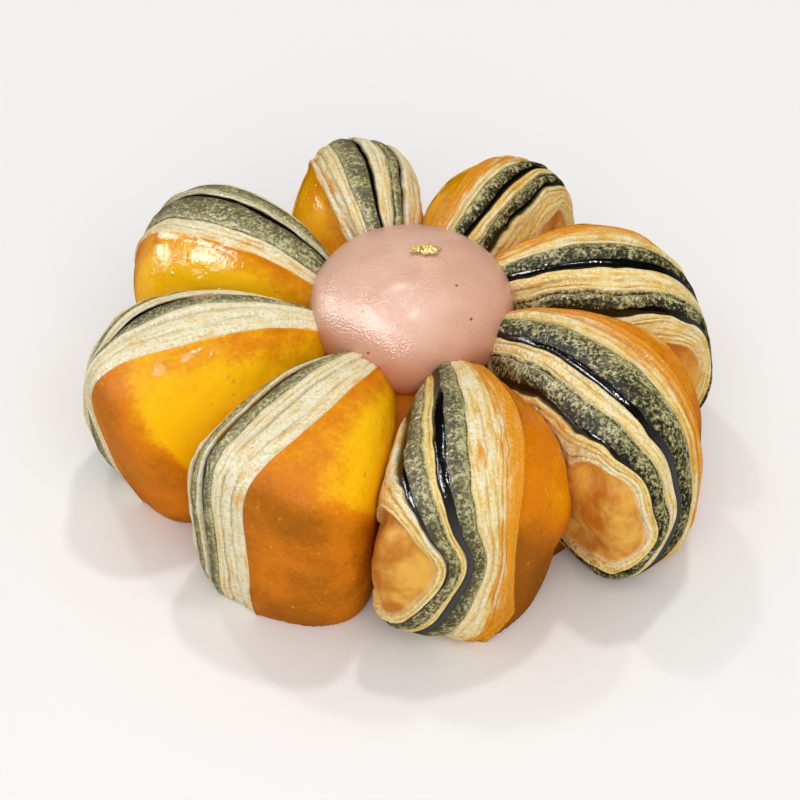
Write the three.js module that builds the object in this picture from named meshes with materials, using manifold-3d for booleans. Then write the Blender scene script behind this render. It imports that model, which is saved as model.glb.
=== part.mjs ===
// A laminated flower pastry: eight rolled petals of striped dough in a ring, with a smooth
// cream dome in the middle. Millimetres, +Z up, the origin under the centre of the flower on
// the face that it stands on. Petals are listed counter-clockwise from the +X side.
import * as THREE from 'three';
import { mergeVertices } from 'three/addons/utils/BufferGeometryUtils.js';
import Module from 'manifold-3d';

const wasm = await Module();
wasm.setup();

// ---- Driving dimensions -------------------------------------------------------------

// The crest is the line that a petal's middle follows: up beside the dome, over the crown,
// down the outer wall and back under. Each point is [outward, up]. The cut side's layers
// follow their own crest, which turns in above the ground, so that they hook round the foot.
const SKIN_CREST = [
  [12, 29], [20, 34], [30, 37], [42, 37], [52, 33.5], [58, 26], [60, 14],
  [58.5, 3], [53, -7], [40, -12], [24, -12], [9, -6], [5, 8], [7, 21],
];
const CUT_CREST = [
  [12, 29], [20, 34], [30, 37], [42, 37], [52, 33.5], [58, 26], [60, 14],
  [57, 4], [49, -1.5], [37, -3], [22, -4], [9, -2], [5, 8], [7, 21],
];
const CREST_BLEND = [-15, 15];   // angles between which one crest passes into the other
const SHOULDER_CORNER = [[1, 0], [2.5, 1.5], [1.5, 3], [-0.5, 0]];  // from crest point 3 on
const SHOULDER_START = 3;
const FOOT_TUCK = [0.4, 1, 1];   // shares of a petal's tuck, from crest point 6 on
const TUCK_START = 6;
const PETAL_COUNT = 8;
const WEDGE_FILL = 1.15;         // how far a petal's flanks press past its eighth of the ring
const VISIBLE_END = 8.5;         // crest points up to here show, the rest is inside or below
const RIDGE_CURL = [6.9, 8.1];   // crest points between which the ridge curls under
const FLAP_CURL = [5.5, 7.4];    // and the flap's edge
const FOOT = [5, 7];             // and the skin side takes its foot's form
const WALL = [2.5, 5.5];         // crest points on the way from the crown to the wall

// What every petal has, unless it states its own value. Angles run round a petal from the
// skin pole at -90 to the cut pole at +90.
const USUAL_PETAL = {
  reach: 1,                      // scale of the outward size
  height: 1,                     // scale of the upward size
  shift: 1,                      // the crest's sideways place, counter-clockwise
  sweep: 0,                      // sideways bend of the outer end, counter-clockwise
  skinWidth: 21,
  cutWidth: 21,
  skinPower: 0.55,               // below 1 is boxier, above 1 flatter
  footPower: 1.2,                // the same at the foot of the skin side
  cutPower: 0.6,
  skinPole: [35, 15],            // where the skin side closes, [outward, up]
  cutPole: [37, 14],             // and the cut side
  shoulder: 0,                   // 1 gives the skin side a sharp corner above its wall
  tuck: 0,                       // how far the skin side's foot is drawn inward
  hook: 1,                       // 0 lets the cut side go straight down, like the skin side
  ridge: [-28, -28],             // edge between skin and cut face: at the dome, at the wall
  flap: [86, 46],                // edge of the inner sheet: at the dome, at the wall
  curl: [35, 76],                // where ridge and flap end up below the wall
  bands: [0.3, 0.42, 0.6, 0.68], // dark layers, as shares of the way from ridge to flap
  wallBands: null,               // the same on the wall, where they lie wider
};
const PETALS = [
  { turn: 14.5, reach: 0.955, height: 1.06, shift: 3, sweep: -13, skinPower: 0.8,
    ridge: [-16, -24], bands: [0.22, 0.36, 0.6, 0.7] },
  { turn: 62, reach: 0.93, height: 1.05, shift: 2, sweep: -9, cutWidth: 10.5, skinPower: 1.3,
    ridge: [-12, -16], bands: [0.2, 0.34, 0.5, 0.6] },
  { turn: 106.5, reach: 0.95, height: 1.09, shift: 2, sweep: -3, skinWidth: 17, cutWidth: 18,
    skinPower: 1.9, ridge: [-26, -22], bands: [0.16, 0.31, 0.5, 0.58] },
  { turn: 151, reach: 1.035, height: 1.08, sweep: -4, cutWidth: 18,
    bands: [0.12, 0.32, 0.42, 0.58] },
  { turn: 194, reach: 1.06, height: 1.04, skinPower: 0.65, skinPole: [42, 14], shoulder: 1,
    tuck: 4.5, curl: [-16, 55], ridge: [-20, -20], flap: [86, 34],
    bands: [0.28, 0.4, 0.56, 0.68] },
  { turn: 237, reach: 0.99, height: 1.02, cutWidth: 15.5, skinWidth: 29, skinPower: 0.33,
    footPower: 0.6, cutPower: 0.5, cutPole: [43, 10], shoulder: 1, hook: 0, curl: [-6, 75],
    ridge: [-28, -6], flap: [86, 74], bands: [0.32, 0.42, 0.54, 0.66] },
  { turn: 283, reach: 1.02, height: 1.02, shift: 3, sweep: -8, skinPower: 0.5, cutWidth: 18.5,
    cutPole: [47, 18], ridge: [-30, -28], flap: [86, 16], bands: [0.3, 0.42, 0.56, 0.68],
    wallBands: [0.37, 0.52, 0.69, 0.84] },
  { turn: 329, reach: 1.05, height: 1.08, shift: 3, sweep: -8, cutWidth: 23, skinPower: 0.75,
    cutPower: 0.5, cutPole: [43, 19], hook: 0.8, ridge: [-14, -18], flap: [86, 38],
    bands: [0.2, 0.4, 0.6, 0.74], wallBands: [0.23, 0.45, 0.68, 0.84] },
];

// Relief of the cut face, in millimetres along the surface normal.
const GROOVE_DEPTH = 1.5;
const RIB_HEIGHT = 0.5;
const DARK_BAND_SINK = 0.4;
const SHEET_EDGE_HEIGHT = 0.7;
const FLAP_SINK = 1.8;
const GROOVE_WIDTH = 0.045;      // as a share of the way from ridge to flap

const CORE_PROFILE = [[0, 0], [48, 0], [46, 8], [41, 17], [31, 25], [21, 29], [0, 29]];
const CORE_SIDES = 48;

const DOME = { radius: 19.5, middle: 31.5, rise: 12, depth: 9, sides: 40, rings: 14 };
const DOME_FULLNESS = 2.4;       // 2 would be an ellipse, more is flatter on top
const DOME_LOBE = { turn: 268, spread: 15, size: 1.8 };  // cream that ran between two petals
const DOME_GAP = 0.3;

const FLAKE = { x: 2.4, y: 2.4, long: 5.7, wide: 4, thick: 1.1, crumple: 0.28 };

const COLOURS = { dough: 0xe3a52c, cream: 0xe0a896 };

// ---- Small helpers ------------------------------------------------------------------

const { degToRad, clamp, lerp, smoothstep } = THREE.MathUtils;

function toSolid(geometry) {
  const bare = geometry.clone();
  bare.deleteAttribute('normal');
  bare.deleteAttribute('uv');
  const merged = mergeVertices(bare, 1e-4);
  const mesh = new wasm.Mesh({
    numProp: 3,
    vertProperties: new Float32Array(merged.attributes.position.array),
    triVerts: new Uint32Array(merged.index.array),
  });
  return new wasm.Manifold(mesh);
}

function toGeometry(solid) {
  const mesh = solid.getMesh();
  const geometry = new THREE.BufferGeometry();
  geometry.setAttribute('position', new THREE.BufferAttribute(mesh.vertProperties, 3));
  geometry.setIndex(new THREE.BufferAttribute(mesh.triVerts, 1));
  geometry.computeVertexNormals();
  return geometry;
}

// A closed skin from rows of points: a start pole, rings of equal length, and an end pole.
function closedSkin(startPole, rings, endPole) {
  const count = rings[0].length;
  const points = [startPole, ...rings.flat(), endPole];
  const last = points.length - 1;
  const index = [];
  for (let k = 0; k < count; k++) {
    const next = (k + 1) % count;
    index.push(0, 1 + k, 1 + next);
    for (let row = 0; row < rings.length - 1; row++) {
      const low = 1 + row * count;
      const high = low + count;
      index.push(low + k, high + k, low + next);
      index.push(low + next, high + k, high + next);
    }
    const rim = 1 + (rings.length - 1) * count;
    index.push(last, rim + next, rim + k);
  }
  const geometry = new THREE.BufferGeometry().setFromPoints(points);
  geometry.setIndex(index);
  return geometry;
}

// ---- A petal ------------------------------------------------------------------------

function crestCurve(points) {
  return new THREE.CatmullRomCurve3(
    points.map(([out, up]) => new THREE.Vector3(out, 0, up)), true, 'catmullrom', 0.5);
}

function skinCrest({ shoulder, tuck }) {
  return crestCurve(SKIN_CREST.map(([out, up], k) => {
    const [moreOut, moreUp] = SHOULDER_CORNER[k - SHOULDER_START] ?? [0, 0];
    const inward = tuck * (FOOT_TUCK[k - TUCK_START] ?? 0);
    return [out + shoulder * moreOut - inward, up + shoulder * moreUp];
  }));
}

const cutCrest = crestCurve(CUT_CREST);

function ridgeAngle(petal, station) {
  const [atDome, atWall] = petal.ridge;
  const angle = lerp(atDome, atWall, smoothstep(station, 1, 5));
  return lerp(angle, petal.curl[0], smoothstep(station, ...RIDGE_CURL));
}

function flapAngle(petal, station) {
  const [atDome, atWall] = petal.flap;
  const angle = lerp(atDome, atWall, smoothstep(station, ...WALL));
  return lerp(angle, petal.curl[1], smoothstep(station, ...FLAP_CURL));
}

// A point of the smooth petal, in its own frame: x outward, y counter-clockwise, z up.
function petalPoint(petal, station, angle) {
  const along = (station / SKIN_CREST.length) % 1;
  const cutShare = petal.hook * smoothstep(angle, ...CREST_BLEND);
  const onCrest = petal.skinCrest.getPoint(along).lerp(cutCrest.getPoint(along), cutShare);
  const cutSide = angle > 0;
  const [poleOut, poleUp] = cutSide ? petal.cutPole : petal.skinPole;
  const skinPower = lerp(petal.skinPower, petal.footPower, smoothstep(station, ...FOOT));
  const power = cutSide ? petal.cutPower : skinPower;
  const widest = cutSide ? petal.cutWidth : petal.skinWidth;
  const share = Math.max(Math.cos(degToRad(angle)), 1e-9) ** power;
  const out = lerp(poleOut, onCrest.x, share) * petal.reach;
  const up = lerp(poleUp, onCrest.z, share) * petal.height;
  const wedge = Math.max(out, 1) * WEDGE_FILL * Math.tan(Math.PI / PETAL_COUNT);
  const halfWidth = widest * Math.sqrt(Math.tanh((wedge / widest) ** 2));
  const bend = (out - 30) / 30;
  const side = petal.shift * clamp(out / 25, 0, 1) - halfWidth * Math.sin(degToRad(angle))
    + petal.sweep * bend * Math.abs(bend);
  return new THREE.Vector3(out, side, up);
}

function petalNormal(petal, station, angle) {
  const along = petalPoint(petal, station + 0.05, angle)
    .sub(petalPoint(petal, station - 0.05, angle));
  const across = petalPoint(petal, station, angle + 1)
    .sub(petalPoint(petal, station, angle - 1));
  return across.cross(along).normalize();
}

// Rows across the cut face, each as [share of the way from ridge to flap, relief].
function cutFaceRows(bands) {
  const [firstDark, firstBlack, secondDark, secondBlack] = bands;
  const grooveFloor = 0.3 * GROOVE_WIDTH;
  const grooveEnd = GROOVE_WIDTH;
  return [
    [0, 0],
    [lerp(0, firstDark, 0.15), -DARK_BAND_SINK],
    [lerp(0, firstDark, 0.55), RIB_HEIGHT],
    [firstDark, -DARK_BAND_SINK],
    [lerp(firstDark, firstBlack, 0.6), 0],
    [firstBlack, 0],
    [firstBlack + grooveFloor, -GROOVE_DEPTH],
    [firstBlack + grooveEnd, -GROOVE_DEPTH / 2],
    [lerp(firstBlack, secondDark, 0.6), RIB_HEIGHT],
    [secondDark, -DARK_BAND_SINK],
    [secondBlack, 0],
    [secondBlack + grooveFloor, -GROOVE_DEPTH],
    [secondBlack + grooveEnd, -GROOVE_DEPTH / 2],
    [lerp(secondBlack, 1, 0.55), RIB_HEIGHT],
    [0.98, SHEET_EDGE_HEIGHT],
    [1.05, -FLAP_SINK],
  ];
}

function petalStations() {
  const stations = [];
  for (let station = 0.3; station < VISIBLE_END; station += 0.42) stations.push(station);
  for (let station = 9; station < SKIN_CREST.length - 0.2; station += 1.2) stations.push(station);
  return stations;
}

function makePetal(own) {
  const petal = { ...USUAL_PETAL, ...own };
  petal.skinCrest = skinCrest(petal);
  const stations = petalStations();
  const skinShares = [0.2, 0.42, 0.62, 0.82];
  const flapShares = [0.35, 0.7];
  const rows = [];
  for (const share of skinShares) {
    rows.push((station) => [lerp(-90, ridgeAngle(petal, station), share), 0]);
  }
  const wallRows = cutFaceRows(petal.wallBands ?? petal.bands);
  cutFaceRows(petal.bands).forEach(([share, relief], k) => {
    const [wallShare] = wallRows[k];
    rows.push((station) => {
      const placed = lerp(share, wallShare, smoothstep(station, ...WALL));
      return [lerp(ridgeAngle(petal, station), flapAngle(petal, station), placed), relief];
    });
  });
  for (const share of flapShares) {
    rows.push((station) => [lerp(flapAngle(petal, station), 90, share), -FLAP_SINK]);
  }
  const rings = rows.map((row) => stations.map((station) => {
    const [angle, relief] = row(station);
    const shown = smoothstep(station, 0.3, 1.3) * (1 - smoothstep(station, 8, 9));
    const atPole = smoothstep(90 - angle, 0, 8);
    const normal = petalNormal(petal, station, Math.min(angle, 88));
    return petalPoint(petal, station, Math.min(angle, 89))
      .addScaledVector(normal, relief * shown * atPole);
  }));
  const geometry = closedSkin(
    petalPoint(petal, 0, -90), rings, petalPoint(petal, 0, 90));
  geometry.rotateZ(degToRad(petal.turn));
  return toSolid(geometry);
}

// ---- The dome -----------------------------------------------------------------------

// Height at a share of the dome's radius, as a share of its rise.
function domeShare(outward) {
  return (1 - outward ** DOME_FULLNESS) ** (1 / DOME_FULLNESS);
}

function makeDome(grow) {
  const geometry = new THREE.SphereGeometry(1, DOME.sides, DOME.rings);
  geometry.rotateX(Math.PI / 2);
  const position = geometry.attributes.position;
  const point = new THREE.Vector3();
  for (let k = 0; k < position.count; k++) {
    point.fromBufferAttribute(position, k);
    const turn = THREE.MathUtils.radToDeg(Math.atan2(point.y, point.x));
    const off = (THREE.MathUtils.euclideanModulo(turn - DOME_LOBE.turn + 180, 360) - 180)
      / DOME_LOBE.spread;
    const lobe = DOME_LOBE.size * Math.exp(-off * off) * (1 - smoothstep(point.z, 0.2, 0.8));
    const radius = DOME.radius + grow + lobe;
    const tall = (point.z > 0 ? DOME.rise : DOME.depth) + grow;
    const up = Math.sign(point.z) * tall * domeShare(Math.min(Math.hypot(point.x, point.y), 1));
    position.setXYZ(k, point.x * radius, point.y * radius, DOME.middle + up);
  }
  return toSolid(geometry);
}

// The torn scrap of leaf on the dome: a flattened lump with a crumpled edge, half sunk.
function makeFlake() {
  const geometry = new THREE.IcosahedronGeometry(1, 2);
  geometry.deleteAttribute('normal');
  geometry.deleteAttribute('uv');
  const lump = mergeVertices(geometry, 1e-4);
  const position = lump.attributes.position;
  const point = new THREE.Vector3();
  for (let k = 0; k < position.count; k++) {
    point.fromBufferAttribute(position, k);
    const fold = Math.sin(7 * point.x + 3 * point.y) * Math.cos(5 * point.y - 2 * point.x);
    const swell = 1 + FLAKE.crumple * fold;
    position.setXYZ(k, point.x * swell * FLAKE.long / 2, point.y * swell * FLAKE.wide / 2,
      point.z * swell * FLAKE.thick);
  }
  const outward = Math.hypot(FLAKE.x, FLAKE.y) / DOME.radius;
  const top = DOME.middle + DOME.rise * domeShare(outward);
  lump.translate(FLAKE.x, FLAKE.y, top);
  return toSolid(lump);
}

// ---- Assembly -----------------------------------------------------------------------

function makeCore() {
  const profile = CORE_PROFILE.map(([radius, up]) => new THREE.Vector2(radius, up));
  const geometry = new THREE.LatheGeometry(profile, CORE_SIDES);
  geometry.rotateX(Math.PI / 2);
  return toSolid(geometry);
}

// The outer skin alone: neighbouring petals can trap a sealed pocket between them.
function withoutPockets(solid) {
  return solid.decompose().reduce(
    (largest, shell) => (shell.volume() > largest.volume() ? shell : largest));
}

function makePastry() {
  let dough = makeCore();
  for (const own of PETALS) dough = dough.add(makePetal(own));
  const below = new THREE.BoxGeometry(300, 300, 60).translate(0, 0, -30);
  return withoutPockets(dough.subtract(toSolid(below)).subtract(makeDome(DOME_GAP)));
}

function namedMesh(name, solid, color, roughness) {
  const material = new THREE.MeshStandardMaterial({ color, roughness, metalness: 0 });
  const mesh = new THREE.Mesh(toGeometry(solid), material);
  mesh.name = name;
  return mesh;
}

const group = new THREE.Group();
group.add(namedMesh('pastry', makePastry(), COLOURS.dough, 0.35));
group.add(namedMesh('cream_dome', makeDome(0).add(makeFlake()), COLOURS.cream, 0.3));

export default group;
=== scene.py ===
# %% [markdown]
# # A laminated flower pastry, petal by petal
# The real pastry is a disc of laminated dough whose edge is cut into eight tongues. Each
# tongue is rolled over, so it shows a glazed skin on one side and its cut layers on the
# other. This lesson loads the solid model, grows eight finely layered petals over it, sets a
# cream dome in the middle, and lights it. Lengths are millimetres; MM makes them metres.

# %% Load the frame
import math
import bpy
import numpy as np
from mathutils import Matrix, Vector


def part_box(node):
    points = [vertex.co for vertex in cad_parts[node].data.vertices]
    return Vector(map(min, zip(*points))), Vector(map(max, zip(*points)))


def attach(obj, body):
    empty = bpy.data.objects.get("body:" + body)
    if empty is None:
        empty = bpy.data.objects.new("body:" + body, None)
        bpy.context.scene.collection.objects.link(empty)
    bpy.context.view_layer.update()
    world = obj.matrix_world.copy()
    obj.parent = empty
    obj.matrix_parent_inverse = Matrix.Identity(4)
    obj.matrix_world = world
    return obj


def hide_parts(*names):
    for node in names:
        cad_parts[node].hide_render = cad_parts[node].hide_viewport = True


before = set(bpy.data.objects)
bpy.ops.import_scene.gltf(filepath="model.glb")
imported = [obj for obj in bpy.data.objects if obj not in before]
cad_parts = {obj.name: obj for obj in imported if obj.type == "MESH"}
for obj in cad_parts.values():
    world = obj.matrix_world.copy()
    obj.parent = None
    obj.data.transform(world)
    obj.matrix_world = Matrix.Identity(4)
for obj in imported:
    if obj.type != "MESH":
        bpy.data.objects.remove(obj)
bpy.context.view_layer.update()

MM = 0.001
print("nodes:", sorted(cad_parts))

# %% [markdown]
# ## Camera
# Product shots of small food use a long lens from a little above. The photo fits a lens of
# about 106 mm, 450 mm away and 40 degrees up. The camera is turned a little, not shifted, so
# that the flower's middle lands where the photo has it.

# %% Camera
PICTURE_SIZE = 800
SENSOR_MM = 36
CAMERA_DISTANCE = 450
CAMERA_HEIGHT_DEG = 40
PIXELS_PER_MM = 5.25
AIM_HEIGHT = 33
AIM_PIXEL = (411, 303)

focal_pixels = PIXELS_PER_MM * CAMERA_DISTANCE
rise = math.radians(CAMERA_HEIGHT_DEG)
back = Vector((0, -math.cos(rise), math.sin(rise)))
picture_up = Vector((0, math.sin(rise), math.cos(rise)))
right = Vector((1, 0, 0))
offset_right = AIM_PIXEL[0] - PICTURE_SIZE / 2
offset_up = PICTURE_SIZE / 2 - AIM_PIXEL[1]
forward = (-back * focal_pixels - right * offset_right - picture_up * offset_up).normalized()

camera_data = bpy.data.cameras.new("camera")
camera_data.sensor_width = SENSOR_MM
camera_data.lens = SENSOR_MM * focal_pixels / PICTURE_SIZE
camera = bpy.data.objects.new("camera", camera_data)
camera.location = (Vector((0, 0, AIM_HEIGHT)) + back * CAMERA_DISTANCE) * MM
camera.rotation_mode = "QUATERNION"
camera.rotation_quaternion = forward.to_track_quat("-Z", "Y")
bpy.context.scene.collection.objects.link(camera)
bpy.context.scene.camera = camera
print("lens in mm:", round(camera_data.lens, 1))

# %% [markdown]
# ## Smooth randomness
# Dough is never regular. One small noise function drives every wobble here: random values on
# a grid, blended smoothly between the grid points. The seed fixes the random draw, so the
# pastry comes out of the oven the same each time.

# %% Noise
LATTICE = 32
LATTICE_SEED = 7
OCTAVES = 3
OCTAVE_STEP = 9.7
lattice_values = np.random.default_rng(LATTICE_SEED).uniform(-1, 1, (LATTICE, LATTICE, LATTICE))


def lerp(low, high, share):
    return low + (high - low) * share


def smoothstep(value, low, high):
    share = np.clip((value - low) / (high - low), 0, 1)
    return share * share * (3 - 2 * share)


def noise(x, y, z=0.0):
    x, y, z = np.broadcast_arrays(np.asarray(x, float), y, z)
    cells = [np.floor(v).astype(int) for v in (x, y, z)]
    shares = [v - c for v, c in zip((x, y, z), cells)]
    eased = [s * s * (3 - 2 * s) for s in shares]
    total = np.zeros(x.shape)
    for corner in range(8):
        steps = (corner & 1, corner >> 1 & 1, corner >> 2 & 1)
        weight = np.ones(x.shape)
        index = []
        for cell, ease, step in zip(cells, eased, steps):
            weight = weight * (ease if step else 1 - ease)
            index.append((cell + step) % LATTICE)
        total += weight * lattice_values[tuple(index)]
    return total


def rough_noise(x, y):
    return sum(noise(x * 2**k, y * 2**k, OCTAVE_STEP * k) / 2**k for k in range(OCTAVES))


print("noise sample:", np.round(noise(np.arange(4) * 0.4, 0.3), 2))

# %% [markdown]
# ## The crest of a petal
# A petal is a closed skin round a crest line, like a pillow with a long rim. The crest is drawn
# from the side, as (distance from the flower's middle, height). It starts at the dome, goes
# over the crown, down the wall and back underneath. On the cut side the foot is cut higher. A
# shoulder makes the crown squarer, and a tuck pulls the foot in.

# %% Crest lines
CREST = np.array([
    (12, 29), (20, 34), (30, 37), (42, 37), (52, 33.5), (58, 26), (60, 14),
    (58.5, 3), (53, -7), (40, -12), (24, -12), (9, -6), (5, 8), (7, 21),
], float)
CUT_CREST = CREST.copy()
CUT_CREST[7:12] = [(57, 4), (49, -1.5), (37, -3), (22, -4), (9, -2)]
SHOULDER_CORNER = np.zeros(CREST.shape)
SHOULDER_CORNER[3:7] = [(1, 0), (2.5, 1.5), (1.5, 3), (-0.5, 0)]
FOOT_TUCK = np.zeros(CREST.shape)
FOOT_TUCK[6:9, 0] = [-0.4, -1, -1]


def crest_point(crest, station):
    """A smooth closed curve through the corners; station 2.5 is halfway from corner 2 to 3."""
    count = len(crest)
    before = np.floor(station).astype(int)
    share = (station - before)[..., None]
    p0, p1, p2, p3 = (crest[(before + step) % count] for step in (-1, 0, 1, 2))
    return 0.5 * (2 * p1 + (p2 - p0) * share + (2 * p0 - 5 * p1 + 4 * p2 - p3) * share**2
                  + (3 * p1 - p0 - 3 * p2 + p3) * share**3)


print("halfway down the wall:", crest_point(CREST, np.array([5.5])).round(1))

# %% [markdown]
# ## Eight petals, no two alike
# Reach and height stretch a petal, and shift and sweep move and bend it sideways. Widths,
# powers and poles say how full the skin side and the cut side are. Hook says how far the cut
# side follows its own, higher foot. The ridge and flap angles are where the cut face starts
# and ends, at the dome and on the wall, and curl is where both go underneath. Bands, sheets
# and line lay out the layers. The last numbers steer the paint: how warm, grainy, glossy and
# baked this petal is. One table of usual values keeps the rows short.

# %% Petal table
USUAL_PETAL = dict(
    reach=1, height=1, shift=1, sweep=0, shoulder=0, tuck=0, hook=1,
    skin_width=21, skin_power=0.55, skin_pole=(35, 15), foot_power=1.2,
    cut_width=21, cut_power=0.6, cut_pole=(37, 14),
    ridge=(-28, -28), flap=(86, 46), curl=(35, 76),
    bands=(0.3, 0.42, 0.6, 0.68), wall_bands=None, sheets=(6, 3, 6), line=0.05,
    warmth=1, grain=1, gloss=0.5, baked=0,
)
PETALS = {
    "right": dict(
        turn=14.5, reach=0.955, height=1.06, shift=3, sweep=-13, skin_power=0.8,
        ridge=(-16, -24), bands=(0.22, 0.36, 0.6, 0.7)),
    "back_right": dict(
        turn=62, reach=0.93, height=1.05, shift=2, sweep=-9, cut_width=10.5, skin_power=1.3,
        ridge=(-12, -16), bands=(0.2, 0.34, 0.5, 0.6), sheets=(4, 3, 6), baked=-0.25),
    "back": dict(
        turn=106.5, reach=0.95, height=1.09, shift=2, sweep=-3, skin_width=17, cut_width=18,
        skin_power=1.9, ridge=(-26, -22), bands=(0.16, 0.31, 0.5, 0.58), sheets=(4, 4, 5),
        line=0.035, warmth=0.3, grain=0.6, gloss=0.9, baked=-0.25),
    "back_left": dict(
        turn=151, reach=1.035, height=1.08, sweep=-4, cut_width=18,
        bands=(0.12, 0.32, 0.42, 0.58), sheets=(3, 2, 6),
        line=0.055, warmth=0.2, grain=0.6, gloss=0.85, baked=-0.15),
    "left": dict(
        turn=194, reach=1.06, height=1.04, shoulder=1, tuck=4.5, skin_power=0.65,
        skin_pole=(42, 14), ridge=(-20, -20), flap=(86, 34), curl=(-16, 55),
        bands=(0.28, 0.4, 0.56, 0.68), sheets=(3, 2, 5),
        line=0.055, warmth=0, grain=0.6, gloss=0.45, baked=-0.2),
    "front_left": dict(
        turn=237, reach=0.99, height=1.02, shoulder=1, hook=0, skin_width=29, skin_power=0.33,
        foot_power=0.6, cut_width=15.5, cut_power=0.5, cut_pole=(43, 10),
        ridge=(-28, -6), flap=(86, 74), curl=(-6, 75),
        bands=(0.32, 0.42, 0.54, 0.66), sheets=(4, 2, 5),
        line=0.055, warmth=0.15, grain=0.4, gloss=0.25, baked=-0.05),
    "front": dict(
        turn=283, reach=1.02, height=1.02, shift=3, sweep=-8, skin_power=0.5, cut_width=18.5,
        cut_pole=(47, 18), ridge=(-30, -28), flap=(86, 16), bands=(0.3, 0.42, 0.56, 0.68),
        wall_bands=(0.37, 0.52, 0.69, 0.84), sheets=(5, 2, 3),
        line=0.065, grain=0.7, baked=0.3),
    "front_right": dict(
        turn=329, reach=1.05, height=1.08, shift=3, sweep=-8, hook=0.8, skin_power=0.75,
        cut_width=23, cut_power=0.5, cut_pole=(43, 19), ridge=(-14, -18), flap=(86, 38),
        bands=(0.2, 0.4, 0.6, 0.74), wall_bands=(0.23, 0.45, 0.68, 0.84), sheets=(6, 3, 4)),
}
print("petals:", ", ".join(PETALS))

# %% [markdown]
# ## The smooth petal
# Stations run along the crest. Angles run round the petal, from the middle of the skin side
# (-90) over the crest (0) to the middle of the cut side (+90). The same rule shapes the solid,
# so both agree. Two petals in a ring share the room between them, so each is narrowed near the
# dome to fit its wedge. Pairs of numbers such as FOOT are the stations between which a change
# takes place.

# %% Petal shape
RIDGE_TURN = (1, 5)
RIDGE_CURL = (6.9, 8.1)
DOME_TO_WALL = (2.5, 5.5)
FLAP_CURL = (5.5, 7.4)
FLAP_WOBBLE = 6.5
WOBBLE_PITCH = 1.7
WOBBLE_ROW = 0.4
WOBBLE_STARTS = (3.2, 4.6)
WOBBLE_ENDS = (7, 8)
FOOT = (5, 7)
CREST_BLEND = 15
HALF_WEDGE = math.pi / 8
WEDGE_FILL = 1.15
SHIFT_REACH = 25
STRAIGHT_REACH = 30
TINY = 1e-9


def ridge_angle(petal, station):
    angle = lerp(*petal["ridge"], smoothstep(station, *RIDGE_TURN))
    return lerp(angle, petal["curl"][0], smoothstep(station, *RIDGE_CURL))


def flap_angle(petal, station):
    angle = lerp(*petal["flap"], smoothstep(station, *DOME_TO_WALL))
    angle = lerp(angle, petal["curl"][1], smoothstep(station, *FLAP_CURL))
    shown = smoothstep(station, *WOBBLE_STARTS) * (1 - smoothstep(station, *WOBBLE_ENDS))
    wobble = noise(station * WOBBLE_PITCH + petal["turn"], WOBBLE_ROW)
    return angle + FLAP_WOBBLE * wobble * shown


def petal_point(petal, station, angle):
    own_crest = CREST + petal["shoulder"] * SHOULDER_CORNER + petal["tuck"] * FOOT_TUCK
    cut_share = smoothstep(angle, -CREST_BLEND, CREST_BLEND)[..., None]
    on_skin = crest_point(own_crest, station)
    on_cut = lerp(on_skin, crest_point(CUT_CREST, station), petal["hook"])
    on_crest = lerp(on_skin, on_cut, cut_share)
    cut_side = angle > 0
    pole = np.where(cut_side[..., None], petal["cut_pole"], petal["skin_pole"])
    skin_power = lerp(petal["skin_power"], petal["foot_power"], smoothstep(station, *FOOT))
    power = np.where(cut_side, petal["cut_power"], skin_power)
    widest = np.where(cut_side, petal["cut_width"], petal["skin_width"])
    share = np.clip(np.cos(np.radians(angle)), TINY, 1) ** power
    flat = pole + (on_crest - pole) * share[..., None]
    out = flat[..., 0] * petal["reach"]
    up = flat[..., 1] * petal["height"]
    wedge = np.maximum(out, 1) * WEDGE_FILL * math.tan(HALF_WEDGE)
    half_width = widest * np.sqrt(np.tanh((wedge / widest) ** 2))
    bend = (out - STRAIGHT_REACH) / STRAIGHT_REACH
    side = (petal["shift"] * np.clip(out / SHIFT_REACH, 0, 1)
            - half_width * np.sin(np.radians(angle)) + petal["sweep"] * bend * np.abs(bend))
    return np.stack([out, side, up], -1)


usual_crown = petal_point(USUAL_PETAL, np.array([3.5]), np.array([0.0]))
print("crown of a usual petal:", usual_crown.round(1))

# %% [markdown]
# ## Layers across the cut face
# Laminated dough shows its sheets wherever it is cut. Each petal has two dark sheets. Their
# cut edge is grainy and grey-green, and their smooth face is a glossy black line deep in a
# groove. The pale sheets are a millimetre thick and swell into ribs with thin gaps between
# them; next to the flap they hang like the steps of a curtain. The plan lists the layers
# from the ridge (0) to the flap (1): where each starts and ends, and how high it stands.

# %% Layer plan
PALE, GRAINY, BLACK = "pale", "grainy", "black"
SHEET_THICKNESS = (0.45, 1.6)
STEP_SCATTER = 0.32
RIB_SWELL = 0.28
SWELL_RANGE = (0.4, 1.5)
GAP_DEPTH = 0.38
GAP_RANGE = (0, 1.6)
GROOVE_SLOPE = 0.15
GROOVE_DEPTH = 0.7
TOP_STAIR = 0.3
STAIR_DROP = 0.22
GRAINY_BAND = dict(kind=GRAINY, start=0.1, end=0.05, swell=0.45, gap=0.1, tint=0.5)
BLACK_LINE = dict(kind=BLACK, start=0.05, end=-GROOVE_SLOPE, swell=0.1, gap=0, tint=0.5)


def sheets(random, start, end, count):
    """A stack of pale sheets of uneven thickness, each at its own height."""
    edges = np.cumsum([0, *random.uniform(*SHEET_THICKNESS, count)])
    edges = start + (end - start) * edges / edges[-1]
    steps = random.uniform(-STEP_SCATTER, STEP_SCATTER, count)
    return [dict(low=low, high=high, kind=PALE, start=step, end=step,
                 swell=RIB_SWELL * random.uniform(*SWELL_RANGE),
                 gap=GAP_DEPTH * random.uniform(*GAP_RANGE), tint=random.uniform(0, 1))
            for low, high, step in zip(edges[:-1], edges[1:], steps)]


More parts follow.
